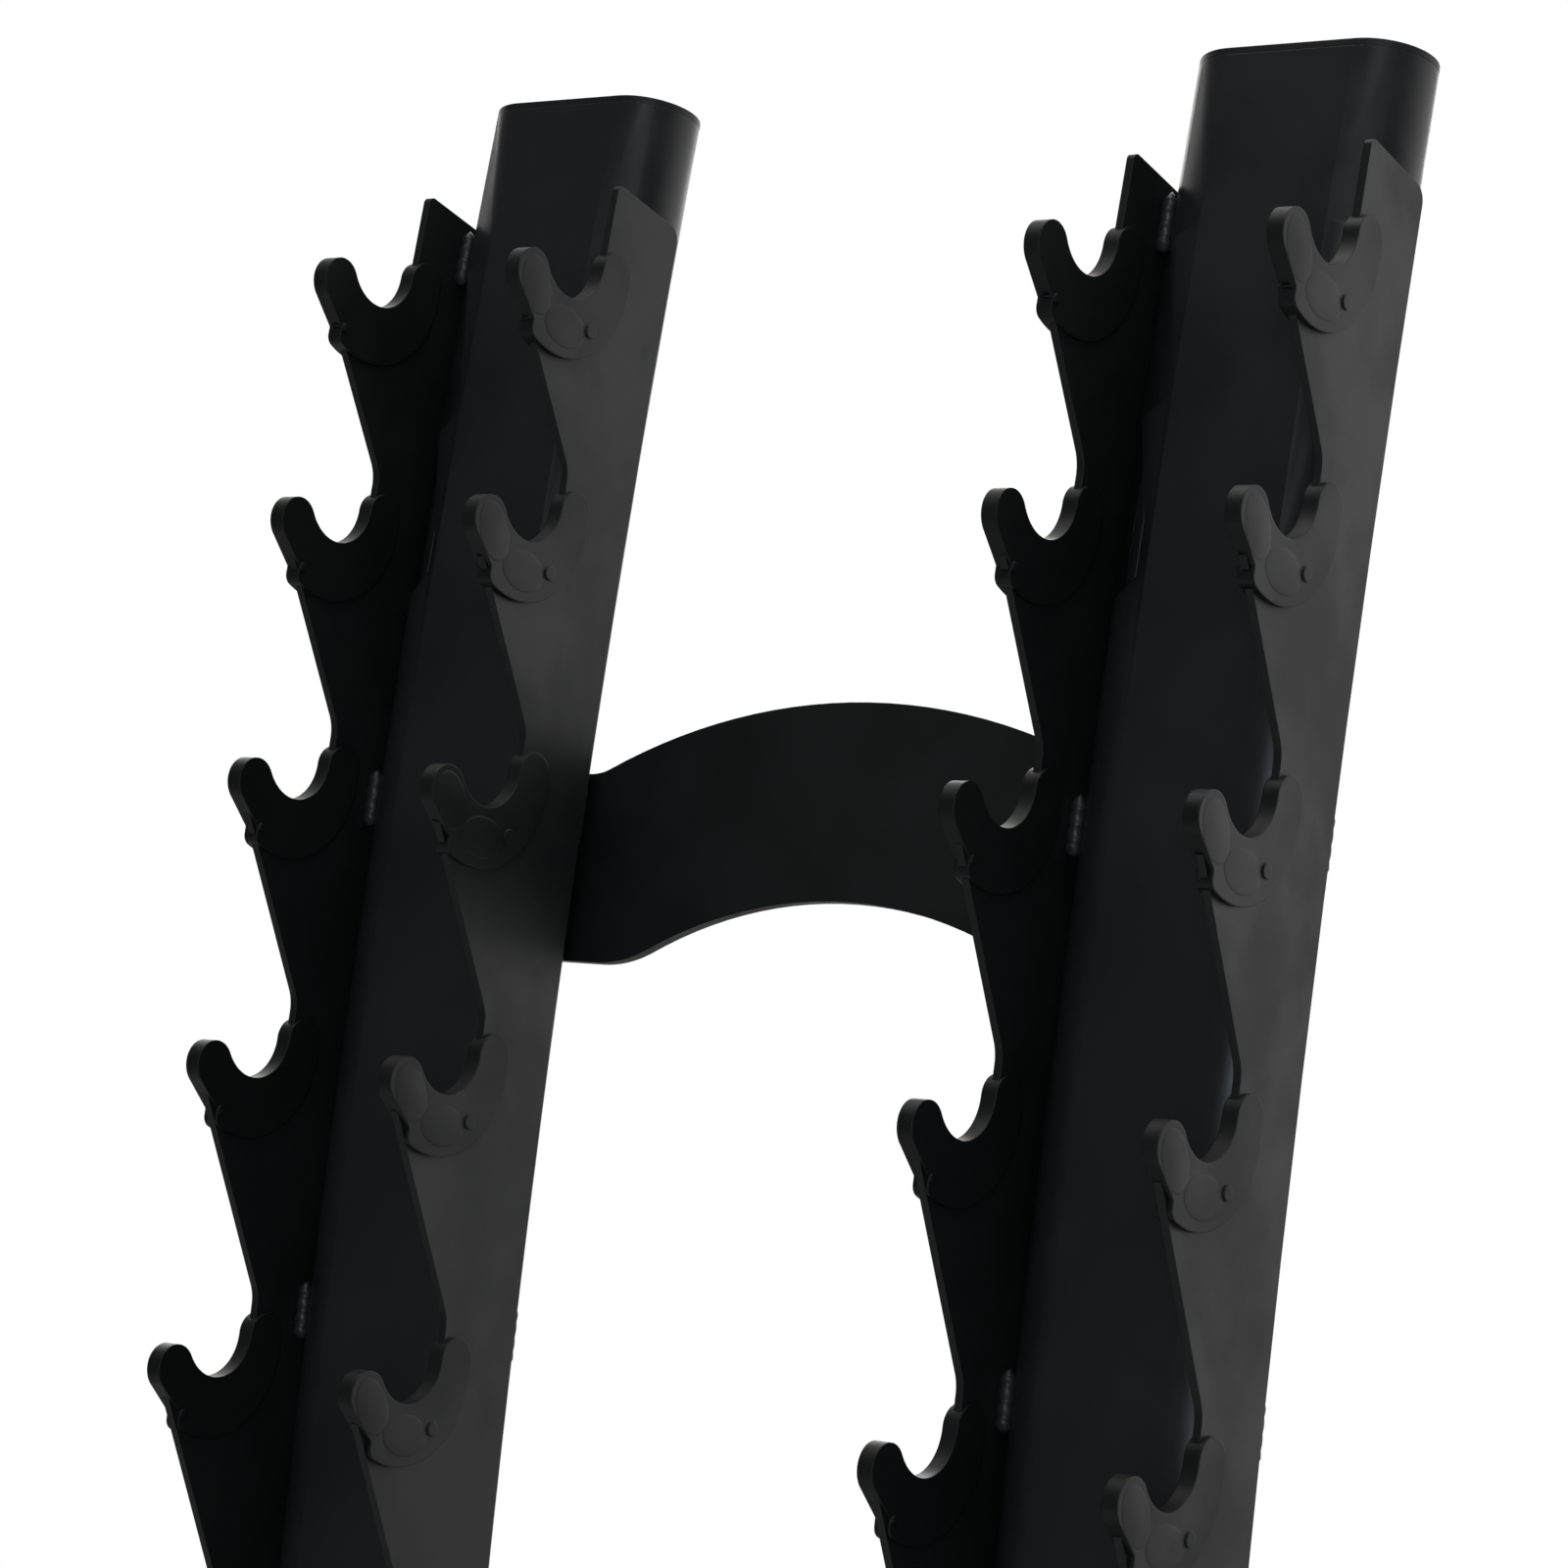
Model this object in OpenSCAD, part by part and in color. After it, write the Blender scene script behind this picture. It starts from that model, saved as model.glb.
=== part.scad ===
// Upright dumbbell rack: two bent uprights with saw-tooth plates and ten tiers of saddles,
// tied by an arched plate and standing on two foot beams.
// Millimetres. +Z is up, +Y is the rear, +X is the rack's right as seen from its front.
// The origin is on the floor, midway between the uprights and at the middle of the foot beams.

/* [Uprights] */
// Distance between the centre lines of the two uprights
upright_pitch = 320; // [300:5:420]
// Backward lean of the uprights at their feet, in degrees
foot_lean = 1; // [0:0.1:4]
// Radius that an upright's centre line is bent to, so that its lean grows with the height
bend_r = 4200; // [3800:50:6000]
// Width of the flat-oval tube, left to right
tube_w = 90; // [80:1:110]
// Depth of the flat-oval tube, front to rear
tube_d = 40; // [34:1:50]
// Wall of the upright tube
tube_wall = 2.5; // [2:0.5:4]
// Thickness of the top cap's rim
cap_rim_t = 2.5; // [2:0.5:4]
// Length of the top cap's plug inside the tube
cap_plug_len = 14; // [8:1:30]
// Wall of the top cap's plug
cap_plug_wall = 2.2; // [1.6:0.1:3]
// Distance of the uprights' feet in front of the middle of the foot beams
upright_forward = 70; // [40:5:110]

/* [Tiers] */
// Drop from the top of the upright to the first saddle
first_drop = 77; // [72:1:90]
// Distance from the first saddle down to the second, along the upright
first_pitch = 92; // [90:1:104]
// How much longer each distance between saddles is than the one above it
pitch_growth = 6.3; // [5:0.1:8]
// Number of tiers
tier_count = 10; // [4:1:10]
// Height of the last saddle above the foot bracket, along the upright
last_rise = 92; // [86:1:120]

/* [Saddles] */
// Distance of a saddle's centre in front of the tube's centre line
saddle_reach = 56; // [50:1:64]
// Radius of the saddle that a handle lies in, liner fitted
saddle_r = 17; // [15:0.5:18]
// Radius of a tooth's finger, liner fitted
finger_r = 9; // [8:0.5:10]
// Angle below level of the line from the saddle's centre to the finger's centre, in degrees
finger_angle = 34.7; // [32:0.1:38]

/* [Saw-tooth plates] */
// Thickness of a plate
plate_t = 3; // [2.5:0.5:5]
// Distance of a plate's rear edge behind the tube's centre line
plate_rear = 3; // [0:0.5:8]
// Drop from the top of the upright to the plate's apex
plate_top_drop = 43; // [34:1:48]
// Slope of the plate's top edge, in degrees
plate_top_slope = 6.5; // [0:0.5:12]
// Radius of the plate's apex
plate_apex_r = 2.5; // [1:0.5:5]
// Radius of the plate's other corners
plate_corner_r = 6; // [3:0.5:10]
// Height of the plate's lower edge above the foot bracket, along the upright
plate_foot_gap = 17; // [12:1:22]
// Height of the foot of a tooth's slope above the next saddle
slope_foot_rise = 15; // [12:1:18]
// Blend radius at the foot of a tooth's slope
slope_blend_r = 14; // [6:1:20]

/* [Saddle liners] */
// Thickness of the liner over the plate's edge
liner_web = 2.5; // [2:0.1:3]
// Thickness of a liner's flange on the side away from the tube
flange_t = 2; // [1.4:0.1:2.4]
// Thickness of a liner's flange on the side that faces the tube
inner_flange_t = 1; // [0.8:0.1:1.6]
// Radius of the flange round the saddle
flange_r = 35.3; // [34.5:0.1:37]
// Radius of the flange's front corner
flange_corner_r = 4; // [2:0.5:6]
// Distance of the flange's centre in front of the saddle's centre
flange_forward = 1.5; // [0:0.5:3]
// Distance of the flange's centre below the saddle's centre
flange_down = 4.5; // [3:0.5:6]
// Distance of the nick in the flange in front of the saddle's centre
nick_forward = 16.8; // [15:0.2:18]
// Distance of the nick in the flange below the saddle's centre
nick_down = 31; // [29:0.2:31.6]
// Height of the raised pad on the flange
pad_h = 0.4; // [0.2:0.1:1]
// Radius of the pad's round end
pad_r = 7; // [5:0.5:8]
// Distance of the pad's middle below the saddle's centre
pad_down = 28; // [26.5:0.5:29]
// Distance of the centre of the pad's round end behind the saddle's centre
pad_rear = 4; // [2:0.5:6]
// Distance of the pad's front end in front of the saddle's centre
pad_forward = 12; // [8:0.5:14]
// Distance of the snap stud behind the saddle's centre
stud_rear = 15.8; // [14.6:0.2:17]
// Distance of the snap stud below the saddle's centre
stud_down = 25.2; // [24.2:0.2:26]
// Radius of the snap stud through the plate
stud_r = 2; // [1.5:0.1:2.2]
// Radius of the stud's head
stud_head_r = 2.7; // [2.6:0.1:3.2]
// Height of the stud's head on the flange
stud_head_h = 0.6; // [0.3:0.1:1]
// Radius of the small nub on the flange that faces the tube
nub_r = 1.6; // [1:0.1:1.8]
// Height of the nub on its flange
nub_h = 0.8; // [0.4:0.1:1.2]
// Distance of the nub's centre behind the nick
nub_inset = 1.8; // [1.8:0.1:3]
// Gap between a liner and its plate
liner_gap = 0.1; // [0.05:0.05:0.2]

/* [Arched tie plate] */
// Thickness of the arched plate
arch_t = 5; // [4:0.5:8]
// Height of the arched band
arch_band = 74; // [70:1:80]
// Height of the tabs at the band's ends
arch_tab_h = 72; // [66:1:76]
// Rise of the arch above its tabs
arch_rise = 30; // [22:1:36]
// Distance from an upright's centre line to the foot of the arch
arch_inset = 40; // [36:1:44]
// Distance that a tab reaches past an upright's centre line
arch_tab_reach = 28; // [20:1:36]
// Drop from the top of the upright to the middle of the tabs
arch_drop = 293; // [280:1:306]
// Blend radius where the arch rises from its tabs
arch_top_blend_r = 20; // [8:1:30]
// Blend radius where the arch's underside meets its tabs' lower edges
arch_foot_blend_r = 48; // [20:2:56]
// Radius of the tabs' corners
arch_corner_r = 8; // [4:1:14]
// Distance between the two screws in a tab
arch_screw_pitch = 40; // [30:1:44]

/* [Foot brackets] */
// Thickness of a bracket's flange
bracket_t = 8; // [6:1:12]
// Length of the flange in front of the upright's centre line
bracket_front = 75; // [70:1:90]
// Length of the flange behind the upright's centre line
bracket_rear = 105; // [100:1:120]
// Radius of the flange's corners
bracket_corner_r = 10; // [6:1:14]
// Distance between the left and right screws
bracket_screw_w = 54; // [48:1:58]
// Distance of the front screws in front of the upright's centre line
bracket_screw_front = 54; // [50:1:58]
// Distance of the rear screws behind the upright's centre line
bracket_screw_rear = 84; // [80:1:88]
// Thickness of the gusset
gusset_t = 6; // [4:1:10]
// Height of the gusset
gusset_h = 85; // [60:1:110]
// Distance of the gusset's end behind the upright's centre line
gusset_rear = 78; // [70:1:90]
// Height of the gusset's blunt end
gusset_nose = 10; // [6:1:16]

/* [Foot beams] */
// Length of a foot beam, end caps included
beam_len = 640; // [600:10:720]
// Width of a foot beam
beam_w = 90; // [86:1:110]
// Height of a foot beam
beam_h = 45; // [42:1:60]
// Outer corner radius of a foot beam
beam_corner_r = 7; // [5:0.5:8]
// Wall of a foot beam
beam_wall = 3; // [2:0.5:4]
// Thickness of an end cap's face
end_cap_t = 4; // [3:0.5:6]
// Length of an end cap's plug inside the beam
end_plug_len = 16; // [10:1:22]
// Wall of an end cap's plug
end_plug_wall = 2.5; // [2:0.1:3]

/* [Base cross tube] */
// Distance of the cross tube behind the middle of the foot beams
cross_rear = 190; // [150:5:210]
// Depth of the cross tube, front to rear
cross_d = 60; // [54:1:70]
// Height of the cross tube
cross_h = 34; // [30:1:36]
// Corner radius of the cross tube
cross_corner_r = 5; // [4:0.5:8]
// Wall of the cross tube
cross_wall = 2.5; // [2:0.5:4]
// Thickness of the welded end walls of the cross tube
cross_end_t = 8; // [6:1:12]
// Distance between the two bolts at one end
cross_bolt_pitch = 34; // [28:1:36]

/* [Rubber feet] */
// Radius of a foot on the floor
foot_r = 26; // [22:1:32]
// Radius of a foot at the beam
foot_top_r = 22; // [18:1:28]
// Height of a foot
foot_h = 15; // [14:1:22]
// Distance of a foot's centre from the end of the beam
foot_inset = 45; // [40:1:60]
// Depth of the recess for the screw's head
foot_recess = 6; // [5:0.5:7]
// Radial clearance round the screw's head
foot_recess_gap = 1.5; // [0.5:0.5:3]

/* [Screws, bolts and rivet nuts] */
// Radius of a screw's shank
screw_r = 4; // [3:0.5:4.5]
// Length of a screw's shank
screw_len = 20; // [18:1:22]
// Radius of a screw's button head
screw_head_r = 7; // [6.5:0.5:8]
// Height of a screw's button head
screw_head_h = 4.4; // [3.6:0.2:4.8]
// Radius of the flat on top of a button head
screw_flat_r = 4.4; // [4:0.1:5.5]
// Radius across the corners of the hex socket
socket_r = 2.9; // [2.5:0.1:3.4]
// Depth of the hex socket
socket_depth = 2.6; // [2:0.1:3.2]
// Radius of a rivet nut's body
nut_r = 5.5; // [5:0.5:6.5]
// Length of a rivet nut
nut_len = 14; // [12:1:16]
// Radius of a rivet nut's collar
nut_collar_r = 7.5; // [7:0.5:8.5]
// Height of a rivet nut's collar
nut_collar_h = 3; // [2:0.5:4]
// Radius of a cross bolt's shank
bolt_r = 5; // [4:0.5:6]
// Radius of a cross bolt's flange
bolt_flange_r = 10.5; // [9.5:0.5:12]
// Thickness of a cross bolt's flange
bolt_flange_t = 1.8; // [1:0.2:3]
// Radius across the corners of a cross bolt's head
bolt_head_r = 8.7; // [7.5:0.1:9.2]
// Height of a cross bolt's head, flange included
bolt_head_h = 7; // [6:0.5:9]
// Length of a cross bolt past the end wall that it screws into
bolt_tip = 4; // [1:1:10]
// Clearance round a shank
shank_gap = 0.3; // [0.1:0.1:0.5]
// Clearance round a plug in its tube
plug_gap = 0.3; // [0.1:0.1:0.5]

/* [Hidden] */
round_fn = 72;
large_fn = 180;
bend_fn = 1440;
$fn = round_fn;
overlap = 0.5;
far = 1000;
// How far a rounding arc reaches past the edges that it meets, so that they cross and don't only touch
seam = 0.02;

U_NAMES = ["left", "right"];
U_SIDES = [-1, 1];
PLATE_NAMES = ["outer", "inner"];
PLATE_SIDES = [1, -1];
ENDS = [-1, 1];

last = tier_count - 1;
upright_len = tier_drop(last) + last_rise;

beam_top = foot_h + beam_h;
base_top = beam_top + bracket_t;
beam_mid = foot_h + beam_h / 2;
tube_rear = tube_d / 2;

// The uprights are drawn with their foot's centre at the origin, x forward and y up the foot
bend_centre = [-bend_r, 0];

// Saw-tooth plate
plate_edge = saddle_reach - saddle_r - liner_web;
plate_rear_r = bend_r - plate_rear;
plate_top = upright_len - plate_top_drop;
plate_apex = at(plate_edge, plate_top);
plate_top_dir = spin([-cos(plate_top_slope), -sin(plate_top_slope)], turn(plate_top));
plate_top_rear = plate_apex + plate_top_dir * (plate_edge + plate_rear) / cos(plate_top_slope);
plate_foot_dir = spin([1, 0], turn(plate_foot_gap));
plate_foot_rear = at(-plate_rear, plate_foot_gap);
plate_saddle_r = saddle_r + liner_web;
plate_finger_r = finger_r - liner_web;
finger_at = (saddle_r + finger_r) * [cos(finger_angle), -sin(finger_angle)];
plate_mid = tube_w / 2 + plate_t / 2;

// Liner, drawn from the centre of its saddle
flange_at = [flange_forward, -flange_down];
flange_back = sqrt(flange_r * flange_r - flange_down * flange_down) - flange_forward;
arm_r = (flange_back - saddle_r) / 2;
nick_at = [nick_forward, -nick_down];
stud_at = [-stud_rear, -stud_down];
slot_w = plate_t + 2 * liner_gap;
liner_w = slot_w + flange_t + inner_flange_t;

// Arched plate, drawn with x across the rack and y up the tube, from the middle of the tabs
arch_mid = upright_len - arch_drop;
arch_seat = tube_rear + sagitta(bend_r - tube_rear, arch_tab_h / 2);
arch_half = upright_pitch / 2 - arch_inset;
arch_out_r = (arch_half * arch_half + arch_rise * arch_rise) / (2 * arch_rise);
arch_in_r = arch_out_r - arch_band;
tab_top = arch_tab_h / 2;
tab_bottom = -arch_tab_h / 2;
arch_centre = tab_top + arch_rise - arch_out_r;

LINER_NODES = [for (u = [0, 1], p = [0, 1], t = [0 : last]) liner_name(u, p, t)];
PLATE_NODES = [for (u = [0, 1], p = [0, 1]) plate_name(u, p)];

function liner_name(u, p, t) = str("liner_", U_NAMES[u], "_", PLATE_NAMES[p], "_", t + 1);
function plate_name(u, p) = str("saw_plate_", U_NAMES[u], "_", PLATE_NAMES[p]);

// Distance of saddle t below the top of the upright, t = 0 being the top one
function tier_drop(t) = first_drop + t * first_pitch + pitch_growth * t * (t - 1) / 2;
function saddle_z(t) = upright_len - tier_drop(t);
// Angle that the upright turns through from its foot to the distance z along it
function turn(z) = z / bend_r * 180 / PI;
// Point at the distance x in front of the centre line, z along the upright
function at(x, z) = bend_centre + (bend_r + x) * [cos(turn(z)), sin(turn(z))];
function spin(v, angle) = [v[0] * cos(angle) - v[1] * sin(angle), v[0] * sin(angle) + v[1] * cos(angle)];
// How far an arc of radius r falls away from its tangent in the distance d
function sagitta(r, d) = r - sqrt(r * r - d * d);
function saddle_at(t) = at(saddle_reach, saddle_z(t));
function finger_place(t) = saddle_at(t) + spin(finger_at, turn(saddle_z(t)));
// Corner where the slope of tooth t meets the plate's front edge, g being the growth of the outline
function slope_foot(t, g) = at(
    plate_edge + g,
    t < last ? saddle_z(t + 1) + slope_foot_rise : plate_foot_gap
);
function unit(v) = v / norm(v);
// Point where the line from p touches the circle of radius r round c, on the circle's front side
function touch_point(p, c, r) =
    let (w = p - c, a = atan2(w[1], w[0]) + acos(r / norm(w)))
    c + r * [cos(a), sin(a)];

// ---- Frames ----

// The frame of the uprights' feet: z up along the foot, y to the rear
module foot_frame() {
    translate([0, -upright_forward, base_top])
        rotate([-foot_lean, 0, 0])
            children();
}

// The frame at the distance z along the uprights, with its z along them there
module station(z) {
    foot_frame()
        translate([0, bend_r, 0])
            rotate([-turn(z), 0, 0])
                translate([0, -bend_r, 0])
                    children();
}

// Stands flat drawings of a plate on its side of a tube: drawn z points away from the tube
module plate_frame(u, p) {
    side = U_SIDES[u] * PLATE_SIDES[p];
    foot_frame()
        translate([U_SIDES[u] * upright_pitch / 2 + side * plate_mid, 0, 0])
            mirror([max(side, 0), 0, 0])
                rotate([0, 0, -90])
                    rotate([90, 0, 0])
                        children();
}

// Places what is drawn round the centre of saddle t
module at_saddle(t) {
    translate(saddle_at(t))
        rotate([0, 0, turn(saddle_z(t))])
            children();
}

// Sweeps a flat section of upright u along its bend, from the distance a to the distance b
module bent_bar(u, a, b) {
    foot_frame()
        translate([U_SIDES[u] * upright_pitch / 2, bend_r, 0])
            rotate([90, 0, -90])
                rotate([0, 0, turn(a)])
                    rotate_extrude(angle = turn(b - a), $fn = bend_fn)
                        translate([bend_r, 0])
                            rotate([0, 0, 90])
                                children();
}

// ---- Flat shapes ----

// The area between a corner at p, with sides along unit vectors a and b, and an arc that rounds it
module corner_area(p, a, b, r) {
    half = acos(a * b) / 2;
    mid = unit(a + b);
    centre = p + mid * r / sin(half);
    reach = r / tan(half);
    difference() {
        polygon([p - mid * overlap, p + a * reach, centre, p + b * reach]);
        translate(centre)
            circle(r = r + seam);
    }
}

module flat_oval(w, d) {
    $fn = round_fn;
    square([w - d, d], center = true);
    for (e = ENDS)
        translate([e * (w - d) / 2, 0])
            circle(d = d);
}

module rounded_box(w, d, r) {
    square([w - 2 * r, d], center = true);
    square([w, d - 2 * r], center = true);
    for (x = ENDS, y = ENDS)
        translate([x * (w / 2 - r), y * (d / 2 - r)])
            circle(r = r);
}

// Where the slope of tooth t touches its finger, the outline being grown by g
function slope_top(t, g) = touch_point(slope_foot(t, g), finger_place(t), plate_finger_r + g - seam);
// The straight-sided outline of tooth t, from its slope up to its saddle
function tooth_points(t, g) = [
    slope_foot(t, g),
    slope_top(t, g),
    finger_place(t),
    saddle_at(t),
    at(plate_edge, saddle_z(t))
];

module slope_blend(t) {
    foot = slope_foot(t, 0);
    next_edge = at(plate_edge, saddle_z(t + 1));
    corner_area(foot, unit(slope_top(t, 0) - foot), unit(next_edge - foot), slope_blend_r);
}

// The plate before its cuts: its rear reaches behind the arc that trims it
module plate_blank() {
    polygon(concat(
        [plate_apex],
        [plate_top_rear + plate_top_dir * overlap, plate_foot_rear - plate_foot_dir * overlap],
        [for (i = [0 : last]) each tooth_points(last - i, 0)]
    ));
}

// Area between the plate's bent rear edge, the straight edge that leaves p along unit vector a,
// and the arc that rounds their corner, n being the unit vector from that edge into the plate
module rear_corner(p, a, n) {
    r = plate_corner_r;
    w = p + n * r - bend_centre;
    along = sqrt(pow(plate_rear_r + r, 2) - w * w + pow(w * a, 2)) - w * a;
    centre = bend_centre + w + a * along;
    touch = bend_centre + unit(centre - bend_centre) * plate_rear_r;
    difference() {
        polygon([p - unit(a + n) * r, touch, centre, centre - n * r]);
        translate(centre)
            circle(r = r + seam);
    }
}

module plate_corners() {
    foot = slope_foot(last, 0);
    corner_area(plate_apex, unit(at(plate_edge, saddle_z(0)) - plate_apex), plate_top_dir, plate_apex_r);
    corner_area(foot, -plate_foot_dir, unit(slope_top(last, 0) - foot), plate_corner_r);
    rear_corner(plate_top_rear, -plate_top_dir, spin(plate_top_dir, 90));
    rear_corner(plate_foot_rear, plate_foot_dir, spin(plate_foot_dir, 90));
}

module plate_cuts() {
    translate(bend_centre)
        circle(r = plate_rear_r, $fn = bend_fn);
    for (t = [0 : last])
        at_saddle(t) {
            circle(r = plate_saddle_r + seam);
            translate(stud_at)
                circle(r = stud_r + shank_gap);
        }
    plate_corners();
}

// What the slot of liner t makes room for: the tooth and the strip beside it
module slot_outline(t) {
    difference() {
        union() {
            at_saddle(t)
                translate([plate_edge - saddle_reach + liner_gap - far, -far / 2])
                    square(far);
            polygon(tooth_points(t, liner_gap));
            translate(finger_place(t))
                circle(r = plate_finger_r + liner_gap);
        }
        translate(saddle_at(t))
            circle(r = plate_saddle_r - liner_gap + seam);
    }
}

// What rounds the front corner of the flange's lobe
module lobe_corner() {
    run = nick_forward - flange_corner_r - flange_forward;
    drop = sqrt(pow(flange_r - flange_corner_r, 2) - run * run);
    centre = flange_at + [run, -drop];
    touch = flange_at + unit(centre - flange_at) * flange_r;
    difference() {
        polygon([
            centre,
            [nick_forward + overlap, centre[1]],
            [nick_forward + overlap, -flange_down - flange_r],
            touch
        ]);
        translate(centre)
            circle(r = flange_corner_r + seam);
    }
}

// The part of the flange below the saddle, cut off at the nick
module flange_lobe() {
    difference() {
        intersection() {
            translate(flange_at)
                circle(r = flange_r);
            polygon([
                [-far, 0],
                [0, 0],
                [nick_forward, -nick_forward * tan(finger_angle)],
                [nick_forward, -far],
                [-far, -far]
            ]);
        }
        lobe_corner();
    }
}

module liner_outline() {
    difference() {
        union() {
            flange_lobe();
            translate([-saddle_r - arm_r, 0])
                circle(r = arm_r + seam);
            translate(finger_at)
                circle(r = finger_r);
            polygon([
                [0, 0],
                finger_at,
                touch_point(nick_at, finger_at, finger_r - seam),
                nick_at,
                [0, -nick_down]
            ]);
        }
        circle(r = saddle_r);
    }
}

module pad_outline() {
    intersection() {
        flange_lobe();
        union() {
            translate([-pad_rear, -pad_down])
                circle(r = pad_r);
            translate([-pad_rear, -pad_down - pad_r])
                square([pad_rear + pad_forward, 2 * pad_r]);
        }
    }
}

module arch_tabs() {
    reach = upright_pitch / 2 + arch_tab_reach;
    translate([-reach, tab_bottom])
        square([2 * reach, arch_tab_h]);
    intersection() {
        translate([0, arch_centre])
            circle(r = arch_out_r, $fn = large_fn);
        translate([-arch_half - overlap, tab_bottom])
            square([2 * (arch_half + overlap), arch_tab_h + arch_rise + overlap]);
    }
}

// Fillet where the arch rises from a tab's top edge
module arch_top_fillet() {
    rise = tab_top + arch_top_blend_r - arch_centre;
    run = sqrt(pow(arch_out_r + arch_top_blend_r, 2) - rise * rise);
    centre = [run, tab_top + arch_top_blend_r];
    touch = [0, arch_centre] + arch_out_r * unit(centre - [0, arch_centre]);
    difference() {
        polygon([[run, tab_top - overlap], centre, touch, [touch[0] - overlap, tab_top - overlap]]);
        translate(centre)
            circle(r = arch_top_blend_r + seam);
    }
}

// What rounds off the edge where the arch's underside meets a tab's lower edge
module arch_foot_round() {
    rise = tab_bottom + arch_foot_blend_r - arch_centre;
    run = sqrt(pow(arch_in_r + arch_foot_blend_r, 2) - rise * rise);
    centre = [run, tab_bottom + arch_foot_blend_r];
    touch = [0, arch_centre] + arch_in_r * unit(centre - [0, arch_centre]);
    difference() {
        polygon([[run, tab_bottom - overlap], centre, touch, [touch[0], tab_bottom - overlap]]);
        translate(centre)
            circle(r = arch_foot_blend_r + seam);
    }
}

module arch_outline() {
    reach = upright_pitch / 2 + arch_tab_reach;
    difference() {
        union() {
            arch_tabs();
            for (e = [0, 1])
                mirror([e, 0])
                    arch_top_fillet();
        }
        translate([0, arch_centre])
            circle(r = arch_in_r, $fn = large_fn);
        for (e = [0, 1])
            mirror([e, 0]) {
                arch_foot_round();
                corner_area([reach, tab_top], [-1, 0], [0, -1], arch_corner_r);
                corner_area([reach, tab_bottom], [-1, 0], [0, 1], arch_corner_r);
            }
        for (x = ENDS, y = ENDS)
            translate([x * upright_pitch / 2, y * arch_screw_pitch / 2])
                circle(r = screw_r + shank_gap);
    }
}

// ---- Places of the fasteners ----

// Each screw that holds the arched plate, at the distance y behind the centre line: z points forward
module at_arch_screws(y) {
    station(arch_mid)
        for (x = ENDS, z = ENDS)
            translate([x * upright_pitch / 2, y, z * arch_screw_pitch / 2])
                rotate([90, 0, 0])
                    children();
}

// Each screw of the foot bracket on side u: z points down, into the beam's top wall
module at_bracket_screws(u, height) {
    for (x = ENDS, y = [-bracket_screw_front, bracket_screw_rear])
        translate([
            U_SIDES[u] * upright_pitch / 2 + x * bracket_screw_w / 2,
            y - upright_forward,
            height
        ])
            rotate([180, 0, 0])
                children();
}

// Each rubber foot's centre on side u: z points up
module at_feet(u, height) {
    for (y = ENDS)
        translate([U_SIDES[u] * upright_pitch / 2, y * (beam_len / 2 - foot_inset), height])
            children();
}

// Each cross bolt on side u, on the beam's outer face: z points inward, along the cross tube
module at_cross_bolts(u) {
    for (y = ENDS)
        translate([
            U_SIDES[u] * (upright_pitch + beam_w) / 2,
            cross_rear + y * cross_bolt_pitch / 2,
            beam_mid
        ])
            rotate([0, -U_SIDES[u] * 90, 0])
                children();
}

// ---- Fasteners ----

// Button-head screw with a hex socket: its head is below z = 0 and its shank above
module button_screw() {
    difference() {
        union() {
            cylinder(r = screw_r, h = screw_len);
            translate([0, 0, -screw_head_h])
                cylinder(r1 = screw_flat_r, r2 = screw_head_r, h = screw_head_h);
        }
        translate([0, 0, -screw_head_h - overlap])
            cylinder(r = socket_r, h = socket_depth + overlap, $fn = 6);
    }
}

// Rivet nut set from z = 0 into a wall, with its collar behind the wall
module rivet_nut(wall) {
    difference() {
        union() {
            cylinder(r = nut_r, h = nut_len);
            translate([0, 0, wall])
                cylinder(r = nut_collar_r, h = nut_collar_h);
        }
        translate([0, 0, -overlap])
            cylinder(r = screw_r + shank_gap, h = nut_len + 2 * overlap);
    }
}

// Hex bolt with a flange under its head: its head is below z = 0 and its shank above
module flange_bolt() {
    cylinder(r = bolt_r, h = beam_w + cross_end_t + bolt_tip);
    translate([0, 0, -bolt_flange_t])
        cylinder(r = bolt_flange_r, h = bolt_flange_t);
    translate([0, 0, -bolt_head_h])
        cylinder(r = bolt_head_r, h = bolt_head_h, $fn = 6);
}

// ---- Sub-parts ----

module upright(u) {
    color("#1b1c1f")
    difference() {
        bent_bar(u, -tube_d, upright_len)
            difference() {
                flat_oval(tube_w, tube_d);
                flat_oval(tube_w - 2 * tube_wall, tube_d - 2 * tube_wall);
            }
        at_arch_screws(arch_seat + overlap)
            cylinder(r = nut_r + shank_gap, h = tube_wall + 2 * overlap);
        station(upright_len - cap_rim_t)
            translate([-far / 2, -far / 2, 0])
                cube(far);
        translate([-far / 2, -far / 2 - upright_forward, base_top - far])
            cube(far);
    }
}

module top_cap(u) {
    plug_w = tube_w - 2 * tube_wall - 2 * plug_gap;
    plug_d = tube_d - 2 * tube_wall - 2 * plug_gap;
    color("#151517")
    station(upright_len - cap_rim_t)
        translate([U_SIDES[u] * upright_pitch / 2, 0, 0]) {
            linear_extrude(cap_rim_t)
                flat_oval(tube_w, tube_d);
            translate([0, 0, -cap_plug_len])
                linear_extrude(cap_plug_len + overlap)
                    difference() {
                        flat_oval(plug_w, plug_d);
                        flat_oval(plug_w - 2 * cap_plug_wall, plug_d - 2 * cap_plug_wall);
                    }
        }
}

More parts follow.
